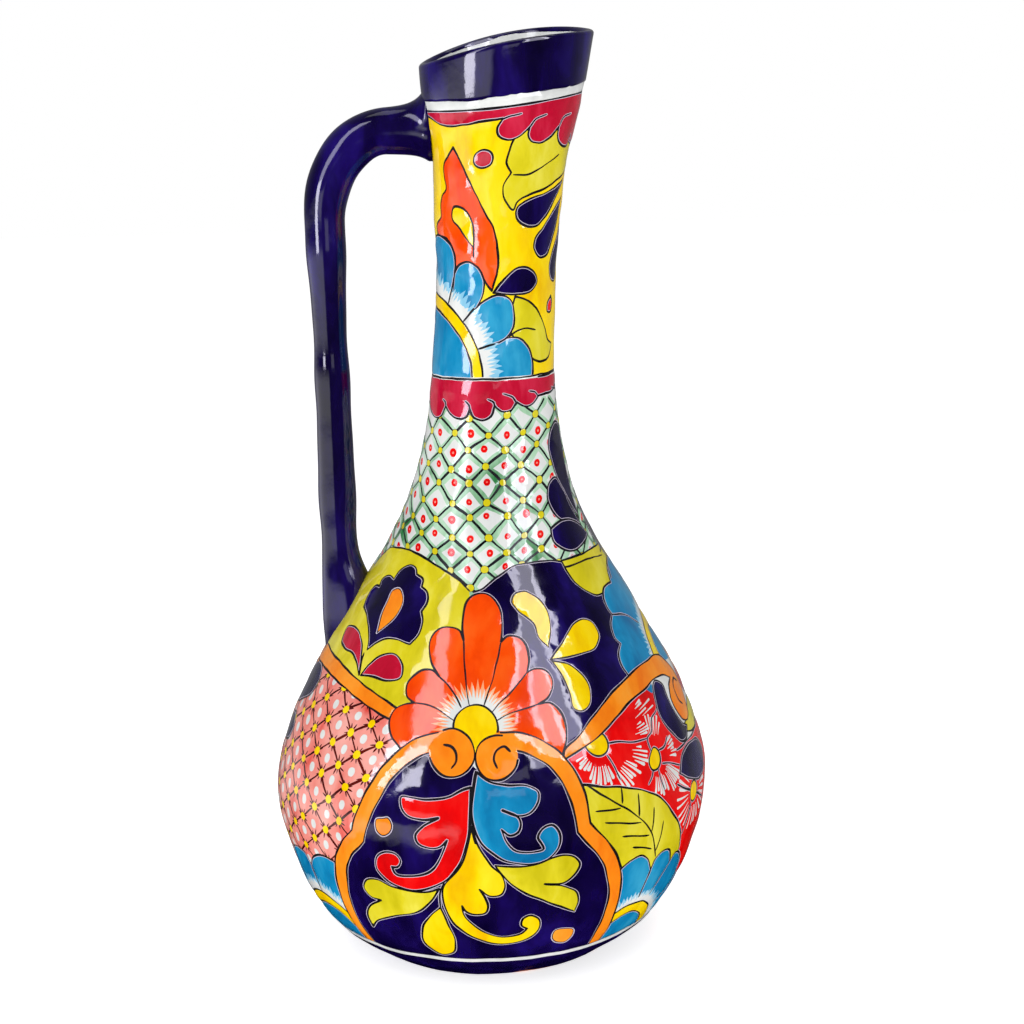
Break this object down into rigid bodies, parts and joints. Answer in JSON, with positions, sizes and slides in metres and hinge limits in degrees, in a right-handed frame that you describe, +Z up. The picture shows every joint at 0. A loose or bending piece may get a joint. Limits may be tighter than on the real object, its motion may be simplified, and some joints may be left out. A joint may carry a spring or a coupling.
{
  "type": "pottery vase",
  "caption": "Tall hand-painted glazed pottery jug vase with a round bowl, slim flared neck, oblique lip and one long rod handle.",
  "frame": {"origin": "centre of the foot on the surface that the vase stands on", "axes": "+Z up, -Y towards the front of the painting, -X towards the handle, +X towards the pouring side"},
  "size_m": [0.193, 0.193, 0.4027],
  "materials": {
    "painted_glaze": "glossy, hand painted in several enamel colours",
    "cobalt_glaze": "glossy",
    "bare_clay": "matte, unglazed"
  },
  "bodies": {
    "root": {"foot_ring": "cobalt_glaze", "base_slab": "bare_clay", "lower_bowl": "painted_glaze", "upper_bowl": "painted_glaze", "shoulder_cone": "painted_glaze", "neck_tube": "painted_glaze", "lip_collar": "cobalt_glaze", "handle_upper_pad": "cobalt_glaze", "handle_bow": "cobalt_glaze", "handle_grip": "cobalt_glaze", "handle_lower_wad": "cobalt_glaze"}
  },
  "joints": []
}
